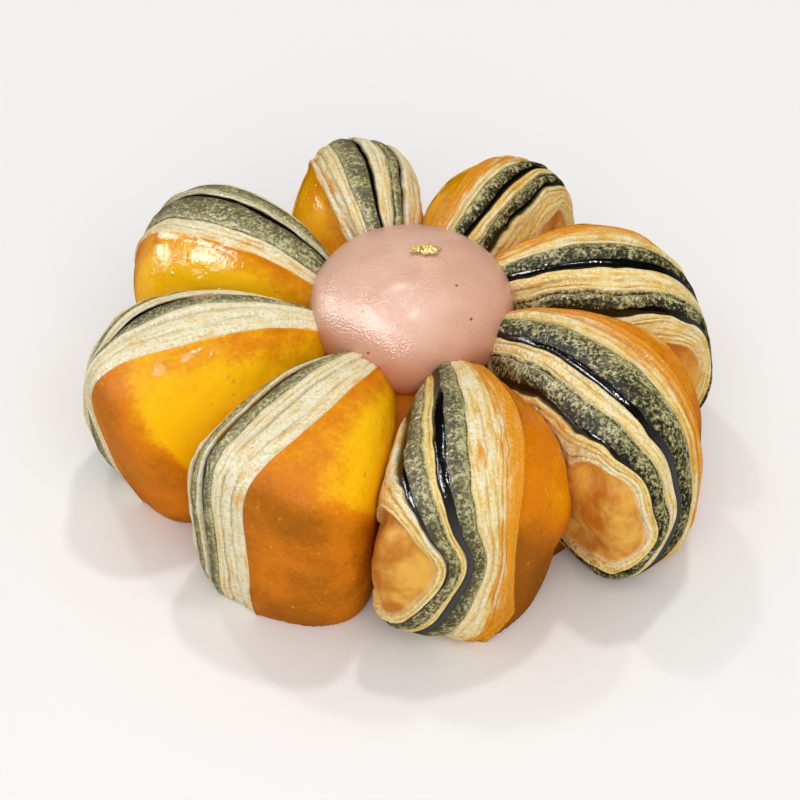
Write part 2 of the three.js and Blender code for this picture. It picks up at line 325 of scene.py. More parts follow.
def layer_plan(petal, random):
    first_dark, first_black, second_dark, second_black = petal["bands"]
    before, between, behind = petal["sheets"]
    layers = sheets(random, 0, first_dark, before)
    for dark, black, end, count in ((first_dark, first_black, second_dark, between),
                                    (second_dark, second_black, 1, behind)):
        line_end = black + petal["line"]
        layers.append(dict(GRAINY_BAND, low=dark, high=black))
        layers.append(dict(BLACK_LINE, low=black, high=line_end))
        after = sheets(random, line_end, end, count)
        if end == 1:
            for number, stair in enumerate(after):
                stair["start"] = stair["end"] = TOP_STAIR - STAIR_DROP * number
        after[0]["gap"] = GROOVE_DEPTH
        layers += after
    return layers


example_petal = {**USUAL_PETAL, **PETALS["front"]}
example_plan = layer_plan(example_petal, np.random.default_rng(1))
print("layers on one petal:", len(example_plan))

# %% [markdown]
# ## Rows and columns of the petal's mesh
# The petal is a closed grid of points. Every edge between two layers is a row of the grid,
# so a gap stays crisp however it winds. Columns run from the dome, over the crown and down
# the wall, close together where they show and far apart underneath.

# %% Petal grid
VISIBLE_COLUMNS = 176
HIDDEN_COLUMNS = 12
VISIBLE_START = 0.2
VISIBLE_END = 8.8
SKIN_ROWS = 40
FLAP_ROWS = 26
ROWS_ON = {PALE: np.array([0.1, 0.3, 0.5, 0.7, 0.9]), GRAINY: np.linspace(0.03, 0.97, 13),
           BLACK: np.array([0.06, 0.35, 0.65, 0.94])}


def grid_rows(layers):
    """Rows as (plan, layer number, share of the way over the layer); share -1 is a gap row."""
    rows = [(row, 0, 0) for row in np.linspace(-1, 0, SKIN_ROWS + 1)[1:]]
    for number, layer in enumerate(layers):
        if number:
            rows.append((layer["low"], number, -1))
        rows += [(lerp(layer["low"], layer["high"], share), number, share)
                 for share in ROWS_ON[layer["kind"]]]
    rows += [(row, len(layers) - 1, 1) for row in np.linspace(1, 2, FLAP_ROWS + 2)[1:-1]]
    return [np.array(values)[:, None] for values in zip(*rows)]


def grid_stations():
    shown = np.linspace(VISIBLE_START, VISIBLE_END, VISIBLE_COLUMNS, endpoint=False)
    round_trip = len(CREST) + VISIBLE_START
    hidden = np.linspace(VISIBLE_END, round_trip, HIDDEN_COLUMNS, endpoint=False)
    return np.concatenate([shown, hidden])[None, :]


def surface_normals(points):
    along = np.roll(points, -1, 1) - np.roll(points, 1, 1)
    across = np.gradient(points, axis=0)
    normals = np.cross(across, along)
    return normals / (np.linalg.norm(normals, axis=-1, keepdims=True) + TINY)


example_rows = grid_rows(example_plan)
print("rows and columns:", len(example_rows[0]), grid_stations().size)

# %% [markdown]
# ## Where the edges run
# Rolled dough stretches unevenly, so each edge winds a little on its way along the petal, and
# on some petals the layers spread wider on the wall. This moves the rows sideways. In each
# noise call, here and below, the first number says how quickly it changes along the petal,
# and the second how quickly from row to row or from sheet to sheet.

# %% Winding edges
LINE_THINNING = 0.6
THINNING_STARTS = (4.2, 5.6)
EDGE_WANDER = 0.013
QUICK_SHARE = 0.6
SHEET_WANDER = 0.0055
CURTAIN_WANDER = 0.008
CURTAIN_BLEND = 0.1
JITTER_SHARE = 0.15
RIDGE_FADE = 0.06
FLAP_FADE = 0.03
ROUNDING = 1e-6


def row_places(petal, plan, station, shift):
    """Where each row of the plan lies at each station, as a share of the cut face."""
    at_dome = np.array([0, *petal["bands"], 1])
    at_wall = np.array([0, *(petal["wall_bands"] or petal["bands"]), 1])
    place = plan + 0 * station
    on_cut = (plan[:, 0] > 0) & (plan[:, 0] < 1)
    for column, share in enumerate(smoothstep(station[0], *DOME_TO_WALL)):
        place[on_cut, column] = np.interp(
            plan[on_cut, 0], at_dome, lerp(at_dome, at_wall, share))
    for black in (petal["bands"][1], petal["bands"][3]):
        into_line = np.clip(plan - black, 0, petal["line"])
        on_line = (plan > black) & (plan <= black + petal["line"] + ROUNDING)
        thinner = LINE_THINNING * into_line * on_line
        place = place - thinner * smoothstep(station, *THINNING_STARTS)
    wander = EDGE_WANDER * (noise(station * 1.1 + shift, plan * 6)
                            + QUICK_SHARE * noise(station * 3, plan * 14 + shift))
    curtain = smoothstep(plan, petal["bands"][3], petal["bands"][3] + CURTAIN_BLEND)
    size = lerp(SHEET_WANDER, CURTAIN_WANDER, curtain)
    wander = wander + size * noise(station * 4.5, plan * 33 + shift)
    wander = wander + JITTER_SHARE * size * noise(station * 13, plan * 40 + shift)
    fade = smoothstep(plan, 0, RIDGE_FADE) * smoothstep(1 - plan, 0, FLAP_FADE)
    return place + wander * fade


example_places = row_places(example_petal, example_rows[0], grid_stations(), 0)
print("largest sideways move of an edge:", np.abs(example_places - example_rows[0]).max().round(3))

# %% [markdown]
# ## Relief of the layers
# Each layer has its own profile across, and its height also rises and falls along the petal.
# A gap row lies below both its neighbours; its gap opens and shuts along the way. Behind the
# last sheet lies the flap, the inner end of the dough: a thin sheet with soft folds.

# %% Layer relief
RIB_ROUNDNESS = 2.5
SLOW_RISE = 0.2
QUICK_RISE = 0.13
GRAINY_RISE = 0.1
WIDEST_GAP = 1.5
FLAP_DEPTH = 0.9
FLAP_FOLD = 1.2
FINE_FOLD = 0.2
FLAP_START = (1, 1.15)


def layer_height(layer, share, station, number, shift):
    lively = 0.8 + 0.5 * noise(station * 1.3, number * 3.1 + shift)
    height = lerp(layer["start"], layer["end"], share)
    height = height + layer["swell"] * lively * (1 - abs(2 * share - 1) ** RIB_ROUNDNESS)
    if layer["kind"] == PALE:
        height = height + SLOW_RISE * noise(station * 0.8 + shift, number * 2.3)
        height = height + QUICK_RISE * noise(station * 3.3, number * 5.7 + share * 0.8 + shift)
    if layer["kind"] == GRAINY:
        height = height + GRAINY_RISE * noise(station * 6, share * 4 + number + shift)
    return height


def gap_noise(station, number, shift):
    return noise(station * 1.9, number * 7.3 + shift)


def cut_relief(layers, number, share, station, shift):
    relief = np.zeros((len(share), station.size))
    for k, (layer_number, part) in enumerate(zip(number[:, 0], share[:, 0])):
        layer = layers[layer_number]
        if part >= 0:
            relief[k] = layer_height(layer, part, station[0], layer_number, shift)
            continue
        before = layer_height(layers[layer_number - 1], 1, station[0], layer_number - 1, shift)
        after = layer_height(layer, 0, station[0], layer_number, shift)
        opening = 0.5 + 1.1 * gap_noise(station[0], layer_number, shift)
        opening = np.clip(opening, 0, WIDEST_GAP)
        if layers[layer_number - 1]["kind"] == BLACK:
            opening = 1
        relief[k] = np.minimum(before, after) - layer["gap"] * opening
    return relief


def flap_relief(plan, station, shift):
    folds = noise(station * 0.8 + shift, plan * 1.4) + FINE_FOLD * noise(station * 2.2, plan * 3)
    return -FLAP_DEPTH + FLAP_FOLD * folds * smoothstep(plan, *FLAP_START)


example_relief = cut_relief(example_plan, *example_rows[1:], grid_stations(), 0)
print("relief in mm:", example_relief.min().round(2), "to", example_relief.max().round(2))

# %% [markdown]
# ## What the paint needs to know
# The mesh carries a few numbers for each point that the paint reads later: how dark, how
# baked and how dry it is, which sheet it is on, and where it lies along and across. The skin
# bakes most on the wall and least in the valley next to the neighbour. On a petal with a
# square shoulder the wall starts further in. Sheets near the ridge are toasted, on warm petals
# over a wider strip.

# %% Attributes for the paint
FRINGE_DARKNESS = 0.35
FIRST_FRINGE = 0.035
SECOND_FRINGE = 0.03
GRAINY_MIDDLE = 0.45
USUAL_BAKE = 0.42
WALL_BAKE = 0.5
WALL_STATIONS = (4.4, 5.6)
WALL_SIDE_ANGLES = (45, 75)
VALLEY_SHADE = 0.55
VALLEY_ANGLES = (28, 66)
VALLEY_ENDS = (4.5, 6)
BAKE_SCATTER = 0.12
DRY_STATIONS = (3.6, 5.4)
GLOSS_ENDS = (3.4, 4.8)
ALONG_PER_STATION = 9
ALONG_PER_PETAL = 40
ACROSS_CUT = 30


def dark_share(petal, kinds, plan, share):
    """0 on a pale sheet, 1 at the rims of a dark one, with a fringe where the dark starts."""
    first_dark, first_black, second_dark, second_black = petal["bands"]
    grey = FRINGE_DARKNESS * smoothstep(plan, first_dark - FIRST_FRINGE, first_dark)
    second = FRINGE_DARKNESS * smoothstep(plan, second_dark - SECOND_FRINGE, second_dark)
    grey = grey + second * (kinds == PALE)
    grey = np.where(kinds == GRAINY, lerp(GRAINY_MIDDLE, 1.0, np.abs(share)), grey)
    behind_line = (plan > first_black) & (plan < second_dark - SECOND_FRINGE)
    return np.where((kinds == PALE) & (behind_line | (plan > second_black)), 0, grey)


def bake_share(petal, station, angle, shift):
    """0 is yellow, 1 is brown."""
    square = petal["shoulder"]
    wall_start, wall_end = (place - 0.8 * square for place in WALL_STATIONS)
    valley_end, valley_gone = (place - square for place in VALLEY_ENDS)
    wall = smoothstep(station, wall_start, wall_end)
    wall = wall * (1 - lerp(0.5, 0.1, square) * smoothstep(-angle, *WALL_SIDE_ANGLES))
    valley = smoothstep(-angle, *VALLEY_ANGLES)
    valley = valley * (1 - lerp(0.6, 1, square) * smoothstep(station, valley_end, valley_gone))
    bake = USUAL_BAKE + WALL_BAKE * wall - VALLEY_SHADE * valley
    bake = bake + BAKE_SCATTER * rough_noise(station * 1.5 + shift, angle / 18)
    return np.clip(bake, 0, 1) + petal["baked"]


def toast_share(petal, plan, number, station, shift):
    near_ridge = 1 - smoothstep(plan, 0, 0.12 + 0.13 * petal["warmth"])
    toast = 0.8 * noise(station * 1.2, number * 3.7 + shift) - 0.1
    toast = np.clip(toast, 0, 1) * (0.2 + 0.7 * petal["warmth"])
    return np.clip(toast + near_ridge * (0.3 + 0.65 * petal["warmth"]), 0, 1)


def paint_attributes(petal, layers, rows, station, place, angle, shift, order):
    plan, number, share = rows
    kinds = np.array([layer["kind"] for layer in layers])[number]
    tint = np.array([layer["tint"] for layer in layers])[number]
    on_cut = (plan > -0.001) & (plan <= 1.0)
    after_black = (share < 0) & (np.roll(kinds, 1, 0) == BLACK)
    gap = np.clip(0.3 + 1.2 * gap_noise(station, number, shift), 0, 1)
    attributes = {
        "grey": dark_share(petal, kinds, plan, share) * on_cut,
        "black": ((kinds == BLACK) | after_black) * on_cut,
        # gap: how much painted shade the gap between two pale sheets gets
        "gap": ((share < 0) & (kinds == PALE)) * gap * on_cut,
        "tint": tint + 0.3 * noise(station * 0.7, number * 4.1 + shift),
        "inner": smoothstep(plan, 0.985, 1.01),
        "toast": toast_share(petal, plan, number, station, shift) * on_cut,
        "bake": bake_share(petal, station, angle, shift),
        "dry": smoothstep(station, *DRY_STATIONS),
        "warmth": petal["warmth"],
        "grain": petal["grain"],
        "gloss": petal["gloss"] * (1 - smoothstep(station, *GLOSS_ENDS)),
        "along": station * ALONG_PER_STATION + ALONG_PER_PETAL * order,
        "across": place * ACROSS_CUT,
    }
    return {key: np.broadcast_to(values, place.shape) for key, values in attributes.items()}


example_kinds = np.array([layer["kind"] for layer in example_plan])[example_rows[1]]
example_dark = dark_share(example_petal, example_kinds, example_rows[0], example_rows[2])
print("share of rows with dark grains:", (example_dark > 0).mean().round(2))

# %% [markdown]
# ## Putting a petal together
# The relief moves each point along the surface normal, and what would reach below the table
# is pressed flat against it. Rows that meet at the two poles close the petal.

# %% Closing a grid
WIDEST_ANGLE = 89.5


def petal_angles(petal, place, station):
    ridge = ridge_angle(petal, station)
    flap = flap_angle(petal, station)
    angle = np.where(place <= 0, ridge + (ridge + 90) * place, ridge + (flap - ridge) * place)
    angle = np.where(place > 1, flap + (90 - flap) * (place - 1), angle)
    return np.minimum(angle, WIDEST_ANGLE)


def cut_flat_below(petal, points, angle):
    pole = np.where((angle > 0)[..., None], petal["cut_pole"], petal["skin_pole"])
    pole = pole * [petal["reach"], petal["height"]]
    under = points[..., 2] < 0
    share = np.where(under, pole[..., 1] / (pole[..., 1] - points[..., 2]), 1)
    points[..., 0] = pole[..., 0] + (points[..., 0] - pole[..., 0]) * share
    points[..., 2] = np.where(under, 0, points[..., 2])
    return points


def turned(points, degrees):
    turn = math.radians(degrees)
    x = points[..., 0] * math.cos(turn) - points[..., 1] * math.sin(turn)
    y = points[..., 0] * math.sin(turn) + points[..., 1] * math.cos(turn)
    return np.stack([x, y, points[..., 2]], -1)


def ring_faces(rows, columns):
    """Quads between rings of points, and a fan of triangles to the pole at either end."""
    column = np.arange(columns)
    after = (column + 1) % columns
    quads = []
    for k in range(rows - 1):
        low, high = k * columns, (k + 1) * columns
        quads.append(np.stack([low + column, high + column, high + after, low + after], -1))
    first_pole = rows * columns
    last = (rows - 1) * columns
    caps = [(first_pole, int(a), int(b)) for a, b in zip(column, after)]
    caps += [(first_pole + 1, int(last + b), int(last + a)) for a, b in zip(column, after)]
    return np.concatenate(quads).tolist() + caps


def add_piece(name, vertices, faces, node, attributes=None):
    mesh = bpy.data.meshes.new(name)
    mesh.from_pydata((np.asarray(vertices) * MM).tolist(), [], faces)
    mesh.shade_smooth()
    for key, values in (attributes or {}).items():
        stored = mesh.attributes.new(key, "FLOAT", "POINT")
        stored.data.foreach_set("value", np.asarray(values, np.float32))
    piece = bpy.data.objects.new(name, mesh)
    bpy.context.scene.collection.objects.link(piece)
    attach(piece, "root")
    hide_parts(node)
    return piece


print("faces of a small ring:", len(ring_faces(2, 6)))

# %% [markdown]
# ## Eight petals from one recipe
# Each petal takes its own row of the table, its own random draw for the sheets, and its own
# shift in the noise, so no wobble repeats. Relief fades out where the dome hides it,
# underneath, and at the poles, where the rows crowd together.

# %% Build petals
FIRST_SEED = 100
NOISE_SHIFT = 31.7
SKIN_WAVE = 0.3
SKIN_LIP = 0.4
LIP_START = -0.06
RELIEF_STARTS = (0.3, 1.2)
RELIEF_ENDS = (8.4, 9.2)
POLE_FADE = 8


def make_petal(name, own, order):
    petal = {**USUAL_PETAL, **own}
    layers = layer_plan(petal, np.random.default_rng(FIRST_SEED + order))
    shift = NOISE_SHIFT * order
    plan, number, share = rows = grid_rows(layers)
    station = grid_stations()
    place = row_places(petal, plan, station, shift)
    angle = petal_angles(petal, place, station)
    smooth_points = petal_point(petal, station + 0 * plan, angle)
    normals = surface_normals(smooth_points)

    skin_height = SKIN_WAVE * rough_noise(station * 0.9 + shift, angle / 25)
    skin_height = skin_height + SKIN_LIP * smoothstep(plan, LIP_START, 0)
    relief = cut_relief(layers, number, share, station, shift)
    relief = np.where(plan > 1, flap_relief(plan, station, shift), relief)
    relief = np.where(plan <= 0, skin_height, relief)
    shown = smoothstep(station, *RELIEF_STARTS) * (1 - smoothstep(station, *RELIEF_ENDS))
    relief = relief * shown * smoothstep(90 - np.abs(angle), 0, POLE_FADE)
    points = cut_flat_below(petal, smooth_points + normals * relief[..., None], angle)
    poles = petal_point(petal, np.zeros(2), np.array([-90.0, 90.0]))
    vertices = np.concatenate([turned(points, petal["turn"]).reshape(-1, 3),
                               turned(poles, petal["turn"])])
    attributes = paint_attributes(petal, layers, rows, station, place, angle, shift, order)
    flat = {key: np.concatenate([values.reshape(-1), values[0, :1], values[-1, :1]])
            for key, values in attributes.items()}
    return add_piece("petal_" + name, vertices, ring_faces(*angle.shape), "pastry",
                     flat)


petals = [make_petal(name, own, order) for order, (name, own) in enumerate(PETALS.items())]
print("petal faces:", [len(piece.data.polygons) for piece in petals])

# %% [markdown]
# ## The middle of the dough
# Below the dome the eight petals are one disc of dough. A low turned cone fills the space
# that the petals leave between them, so that no light shows through.

# %% Dough centre
CORE_PROFILE = [(0, 0), (44, 0), (42, 7), (37, 15), (27, 23), (20, 27), (0, 27)]
CORE_SIDES = 96
CORE_BAKE = (1.6, 0.6)
CORE_BAKE_HEIGHTS = (14, 24)


def make_core():
    turn = 2 * np.pi * np.arange(CORE_SIDES) / CORE_SIDES
    rings = [np.stack([radius * np.cos(turn), radius * np.sin(turn), np.full(CORE_SIDES, up)], -1)
             for radius, up in CORE_PROFILE[1:-1]]
    ends = [(0, 0, CORE_PROFILE[0][1]), (0, 0, CORE_PROFILE[-1][1])]
    vertices = np.concatenate([*rings, ends])
    faces = [tuple(reversed(face)) for face in ring_faces(len(rings), CORE_SIDES)]
    bake = lerp(*CORE_BAKE, smoothstep(vertices[:, 2], *CORE_BAKE_HEIGHTS))
    return add_piece("dough_centre", vertices, faces, "pastry", {"bake": bake})


core = make_core()
print("core faces:", len(core.data.polygons))

# %% [markdown]
# ## The cream dome
# A low mound of smooth set cream, with sides a little fuller than an ellipse. It ran slightly
# into the gap between the two front petals, so its front edge bulges there.

# %% Cream dome
DOME_MIDDLE = 31.5
DOME_RISE = 12
DOME_DEPTH = 9
DOME_FULLNESS = 2.4
DOME_LOBE = dict(turn=268, spread=15, size=1.8)
DOME_SIDES = 240
DOME_RINGS = 110
DOME_WAVE = 0.15
LOBE_FADE = (0.2, 0.8)
PAINTED_BOUNCE_HEIGHTS = (27, 40)
dome_low, dome_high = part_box("cream_dome")
DOME_RADIUS = (dome_high[0] - dome_low[0]) / 2 / MM


def dome_share(outward):
    """Height at a share of the radius; a fullness of 2 would be an ellipse."""
    return (1 - outward**DOME_FULLNESS) ** (1 / DOME_FULLNESS)


def make_dome():
    tilt = np.linspace(-math.pi / 2, math.pi / 2, DOME_RINGS + 1)[1:-1]
    turn = np.linspace(0, 2 * math.pi, DOME_SIDES, endpoint=False)
    tilt, turn = np.meshgrid(tilt, turn, indexing="ij")
    lean = np.sin(tilt)
    off = (np.degrees(turn) - DOME_LOBE["turn"] + 180) % 360 - 180
    lobe = DOME_LOBE["size"] * np.exp(-(off / DOME_LOBE["spread"]) ** 2)
    radius = DOME_RADIUS + lobe * (1 - smoothstep(lean, *LOBE_FADE))
    tall = np.where(lean > 0, DOME_RISE, DOME_DEPTH)
    x = radius * np.cos(tilt) * np.cos(turn)
    y = radius * np.cos(tilt) * np.sin(turn)
    z = DOME_MIDDLE + np.sign(lean) * tall * dome_share(np.cos(tilt))
    z = z + DOME_WAVE * noise(x / 6, y / 6, 3.3) * (lean > 0) * lean
    ends = [(0, 0, DOME_MIDDLE - DOME_DEPTH), (0, 0, DOME_MIDDLE + DOME_RISE)]
    vertices = np.concatenate([np.stack([x, y, z], -1).reshape(-1, 3), ends])
    faces = [tuple(reversed(face)) for face in ring_faces(DOME_RINGS - 1, DOME_SIDES)]
    # low: how much painted reflection of the dough the cream gets, strongest near its foot
    low = 1 - smoothstep(vertices[:, 2], *PAINTED_BOUNCE_HEIGHTS)
    return add_piece("cream", vertices, faces, "cream_dome", {"low": low})


dome = make_dome()
print("dome faces:", len(dome.data.polygons))

# %% [markdown]
# ## The scrap of gold leaf
# Edible gold is picked up with tweezers and crumples as it lands. A few small folded scraps
# overlap each other: flat grids, bent hard by the noise and given a little thickness.

# %% Gold leaf
LEAF_AT = (2.4, 2.4)
LEAF_SCRAPS = [
    dict(at=(-1.5, 0.2), size=(2.4, 1.8), turn=20), dict(at=(0.0, -0.3), size=(2.6, 1.6), turn=-30),
    dict(at=(1.4, 0.4), size=(2.6, 2.0), turn=60), dict(at=(0.6, 0.9), size=(2.0, 1.4), turn=10),
    dict(at=(2.0, -0.3), size=(1.4, 1.2), turn=100),
]
LEAF_CELLS = 18
LEAF_THICKNESS = 0.05
LEAF_RAGGED = 0.3
LEAF_LIFT = 0.25
LEAF_FOLD = 0.9


def dome_top(x, y):
    outward = np.hypot(x, y) / DOME_RADIUS
    return DOME_MIDDLE + DOME_RISE * dome_share(outward)


def make_leaf():
    vertices, faces = [], []
    cells = np.arange(LEAF_CELLS * LEAF_CELLS).reshape(LEAF_CELLS, LEAF_CELLS)
    quads = np.stack([cells[:-1, :-1], cells[:-1, 1:], cells[1:, 1:], cells[1:, :-1]], -1)
    rim = np.concatenate([cells[0, :-1], cells[:-1, -1], cells[-1, :0:-1], cells[:0:-1, 0]])
    sides = np.stack([np.roll(rim, -1), rim, rim + cells.size, np.roll(rim, -1) + cells.size], -1)
    scrap_faces = np.concatenate([
        quads.reshape(-1, 4), quads.reshape(-1, 4)[:, ::-1] + cells.size, sides])
    for order, scrap in enumerate(LEAF_SCRAPS):
        u, v = np.meshgrid(np.linspace(-1, 1, LEAF_CELLS), np.linspace(-1, 1, LEAF_CELLS))
        ragged = 1 + LEAF_RAGGED * noise(u * 2 + 11 * order, v * 2)
        turn = math.radians(scrap["turn"])
        a = u * scrap["size"][0] / 2 * ragged
        b = v * scrap["size"][1] / 2 * ragged
        x = LEAF_AT[0] + scrap["at"][0] + a * math.cos(turn) - b * math.sin(turn)
        y = LEAF_AT[1] + scrap["at"][1] + a * math.sin(turn) + b * math.cos(turn)
        fold = noise(u * 1.7 + 7 * order, v * 1.7) + 0.5 * noise(u * 4, v * 4 + order)
        z = dome_top(x, y) + LEAF_LIFT + LEAF_FOLD * np.abs(fold)
        top = np.stack([x, y, z], -1).reshape(-1, 3)
        faces += (scrap_faces + len(vertices)).tolist()
        vertices += top.tolist() + (top - [0, 0, LEAF_THICKNESS]).tolist()
    return add_piece("gold_leaf", vertices, faces, "cream_dome")


leaf = make_leaf()
print("leaf faces:", len(leaf.data.polygons))

# %% [markdown]
# ## Writing paint as sums
# Shader nodes are easier to read as arithmetic. Wire wraps one output socket, and + - * on
# wires add Math nodes.

# %% Sums on sockets
class Wire:
    """An output socket that can be used in sums."""

    def __init__(self, recipe, socket):
        self.recipe = recipe
        self.socket = socket

    def maths(self, operation, first, second):
        return self.recipe.node("ShaderNodeMath", {"operation": operation}, {0: first, 1: second})

    def __add__(self, other):
        return self.maths("ADD", self, other)

    __radd__ = __add__

    def __sub__(self, other):
        return self.maths("SUBTRACT", self, other)

    def __rsub__(self, other):
        return self.maths("SUBTRACT", other, self)

    def __mul__(self, other):
        return self.maths("MULTIPLY", self, other)

    __rmul__ = __mul__

    def between(self, low, high):
        """0 below low, 1 above high, smooth in between."""
        return self.recipe.node(
            "ShaderNodeMapRange", {"interpolation_type": "SMOOTHSTEP"},
            {"Value": self, "From Min": low, "From Max": high})


print("sums on wires: + - *")

# %% [markdown]
# ## A recipe for each material
# A recipe owns a material's nodes. Its one method, node, adds any kind of node; the others
# are short names for the kinds used most. Speckle sizes are noise cells in a metre.

# %% Recipes
SPECKLE_ROUGHNESS = 0.6
COLOUR_SHARE, COLOUR_A, COLOUR_B, COLOUR_RESULT = 0, 6, 7, 2


class Recipe:
    def __init__(self, name):
        self.material = bpy.data.materials.new(name)
        self.material.use_nodes = True
        self.tree = self.material.node_tree
        self.tree.nodes.clear()

    def node(self, kind, settings, sockets, output=0):
        made = self.tree.nodes.new(kind)
        for key, value in settings.items():
            setattr(made, key, value)
        for key, value in sockets.items():
            if isinstance(value, Wire):
                self.tree.links.new(value.socket, made.inputs[key])
            else:
                made.inputs[key].default_value = value
        return None if output is None else Wire(self, made.outputs[output])

    def stored(self, name):
        return self.node("ShaderNodeAttribute", {"attribute_name": name}, {}, output="Fac")

    def mix(self, share, first, second):
        sockets = {COLOUR_SHARE: share, COLOUR_A: first, COLOUR_B: second}
        return self.node("ShaderNodeMix", {"data_type": "RGBA"}, sockets, COLOUR_RESULT)

    def speckle(self, place, scale, detail):
        sockets = {"Vector": place, "Scale": scale, "Detail": detail,
                   "Roughness": SPECKLE_ROUGHNESS}
        return self.node("ShaderNodeTexNoise", {}, sockets)

    def cells(self, place, scale):
        return self.node("ShaderNodeTexVoronoi", {}, {"Vector": place, "Scale": scale})

    def object_place(self):
        return self.node("ShaderNodeTexCoord", {}, {}, output="Object")

    def bump(self, height, depth, strength=1.0):
        """Depth in millimetres."""
        sockets = {"Height": height, "Strength": strength, "Distance": depth * MM}
        return self.node("ShaderNodeBump", {}, sockets)

    def surface(self, **sockets):
        """A Principled shader; an underscore in a keyword is a blank in the socket's name."""
        named = {key.replace("_", " "): value for key, value in sockets.items()}
        return self.node("ShaderNodeBsdfPrincipled", {}, named)

    def blend(self, share, first, second):
        return self.node("ShaderNodeMixShader", {}, {0: share, 1: first, 2: second})

    def finish(self, surface):
        self.node("ShaderNodeOutputMaterial", {}, {"Surface": surface}, output=None)
        return self.material


def srgb(red, green, blue):
    """A colour as read off a screen, 0 to 255, as Blender's linear light."""
    linear = [((c / 255 + 0.055) / 1.055) ** 2.4 if c > 10 else c / 255 / 12.92
              for c in (red, green, blue)]
    return (*linear, 1.0)


print("orange in linear light:", [round(c, 3) for c in srgb(218, 119, 2)])

# %% [markdown]
# ## Skin paint
# The skin was brushed with egg and glazed with syrup. Where it was shaded it stayed yellow,
# where it stood free it went orange, and the outer walls browned. Baking also left tiny
# blisters. The mesh stores how baked each point is, and noise breaks the borders up.

# %% Skin paint
SKIN_YELLOW = srgb(255, 190, 0)
SKIN_ORANGE = srgb(220, 124, 0)
SKIN_BROWN = srgb(160, 90, 2)
BLISTER_PALE = srgb(236, 160, 30)
YELLOW_TO_ORANGE = (-0.15, 0.5)
ORANGE_TO_BROWN = (0.45, 1.15)
BLISTER_SIZE = (0.08, 0.3)
BLISTER_SHOWS = 0.6
SKIN_BUMP = 0.4
BAKED = dict(Roughness=0.6, Specular_IOR_Level=0.12)
GLAZED = dict(Roughness=0.13)


def skin_paint():
    paint = Recipe("glazed_skin")
    place = paint.object_place()
    fine = paint.speckle(place, 1100.0, 3.0)
    mottle = paint.speckle(place, 230.0, 4.0)
    blotch = paint.speckle(place, 60.0, 3.0)
    bake = paint.stored("bake") + (mottle - 0.5) * 0.5 + (blotch - 0.5) * 0.6 + (fine - 0.5) * 0.5
    light_skin = paint.mix(bake.between(*YELLOW_TO_ORANGE), SKIN_YELLOW, SKIN_ORANGE)
    colour = paint.mix(bake.between(*ORANGE_TO_BROWN), light_skin, SKIN_BROWN)

    some = paint.speckle(place, 190.0, 2.0).between(0.5, 0.6)
    blisters = (1 - paint.cells(place, 520.0).between(*BLISTER_SIZE)) * some
    colour = paint.mix(blisters * BLISTER_SHOWS, colour, BLISTER_PALE)
    relief = paint.bump(fine * 0.3 + mottle * 0.6 + blisters * 0.4, SKIN_BUMP)
    baked = paint.surface(Base_Color=colour, Normal=relief, **BAKED)
    glazed = paint.surface(Base_Color=colour, Normal=relief, **GLAZED)
    syrup = (paint.speckle(place, 300.0, 3.0) + paint.stored("gloss") - 0.5).between(0.45, 0.55)
    return paint.finish(paint.blend(syrup, baked, glazed))


skin_material = skin_paint()
print("nodes in the skin's paint:", len(skin_material.node_tree.nodes))

# %% [markdown]
# ## Layers paint
# The cut face carries three doughs' worth of colour. Pale sheets run from greenish white on
# the shaded petals to golden on the toasted ones, with painted shade in the gaps between them,
# and painted shade in the dips of their lumps and painted glints on the tops. The grainy band
# grows out of them: dark grains on an olive ground, densest at its rims. The glossy black line
# is the dark sheet's smooth face, wet with syrup on top and dry on the wall. The flap is thin
# toasted sheet. As on the skin, a wet and a dry surface are blended.

# %% Layers paint
PALE_WHITE = srgb(240, 232, 198)
PALE_YELLOW = srgb(242, 208, 112)
STREAK_GOLD = srgb(230, 176, 70)
LUMP_SHADE = srgb(202, 174, 98)
PAINTED_GLINT = srgb(254, 251, 238)
TOASTED = srgb(230, 150, 22)
GAP_PAINTED_SHADE = srgb(190, 128, 40)
GRAIN_LIGHT = srgb(196, 188, 136)
GRAIN_OLIVE = srgb(116, 110, 68)
GRAIN_DARK = srgb(36, 36, 26)
BLACK_WET = srgb(10, 10, 10)
BLACK_DRY = srgb(74, 74, 76)
FLAP_PALE = srgb(232, 176, 76)
FLAP_BROWN = srgb(198, 118, 30)
STREAK_ALONG = 0.22
STREAK_ACROSS = 1.3
LIGHT_GRAIN = 0.4
LAYER_BUMP = 0.5
FLAKY = dict(Roughness=0.5, Specular_IOR_Level=0.2)
WET = dict(Roughness=0.1)


def pale_colour(paint, streaks, clouds, lumps, grit):
    warmth = paint.stored("warmth")
    gold = paint.stored("tint") * 0.5 + warmth * 0.55 + (streaks - 0.5) * 2.2 + (clouds - 0.5)
    pale = paint.mix(gold.between(0.1, 1.1), PALE_WHITE, PALE_YELLOW)
    threads = (streaks + clouds * 0.3).between(0.66, 0.84) * (warmth * 0.4 + 0.4)
    pale = paint.mix(threads, pale, STREAK_GOLD)
    # painted shade in the dips of the lumps, and painted glints on their tops
    pale = paint.mix((1 - lumps).between(0.5, 0.68) * 0.5, pale, LUMP_SHADE)
    pale = paint.mix((lumps * 0.6 + grit * 0.4).between(0.52, 0.66) * 0.6, pale, PAINTED_GLINT)
    toast = paint.stored("toast") + (streaks - 0.5) * 1.1 + (lumps - 0.5) * 0.5
    pale = paint.mix(toast.between(0.3, 0.95), pale, TOASTED)
    # painted shade in the gaps between the sheets
    return paint.mix(paint.stored("gap") * 0.6, pale, GAP_PAINTED_SHADE)


def grainy_colour(paint, grey, clouds, lumps, grit):
    body = lumps * 0.55 + grit * 0.35 + (clouds - 0.5) * 0.4 - (grey - 0.7) * 0.22
    olive = paint.mix(body.between(0.36, 0.47), GRAIN_DARK, GRAIN_OLIVE)
    olive = paint.mix(body.between(0.45, 0.58), olive, GRAIN_LIGHT)
    return paint.mix(LIGHT_GRAIN - paint.stored("grain") * LIGHT_GRAIN, olive, GRAIN_LIGHT)


